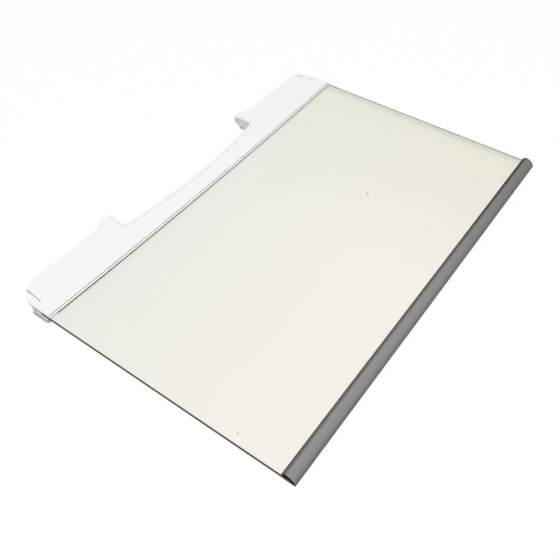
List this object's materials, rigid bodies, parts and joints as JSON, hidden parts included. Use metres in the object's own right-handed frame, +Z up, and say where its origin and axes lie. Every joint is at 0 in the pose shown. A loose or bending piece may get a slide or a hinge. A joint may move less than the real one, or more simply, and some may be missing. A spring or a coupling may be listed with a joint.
{
  "type": "fridge glass shelf",
  "caption": "Fridge shelf: a flat toughened glass pane in a slim grey front trim and a white moulded rear trim, cut away in the middle between hooked ears.",
  "frame": {"origin": "under the middle of the shelf, level with the lowest point, the underside of the rear trim", "axes": "+X along the shelf's width to the right as seen from the fridge door, +Y to the back of the fridge, +Z up"},
  "size_m": [0.4742, 0.3336, 0.0144],
  "materials": {
    "clear_glass": "clear, polished, ground edges",
    "white_plastic": "satin moulded",
    "grey_plastic": "satin silver-grey extrusion"
  },
  "bodies": {
    "root": {"glass_pane": "clear_glass", "rear_trim": "white_plastic", "front_trim": "grey_plastic"}
  },
  "joints": []
}
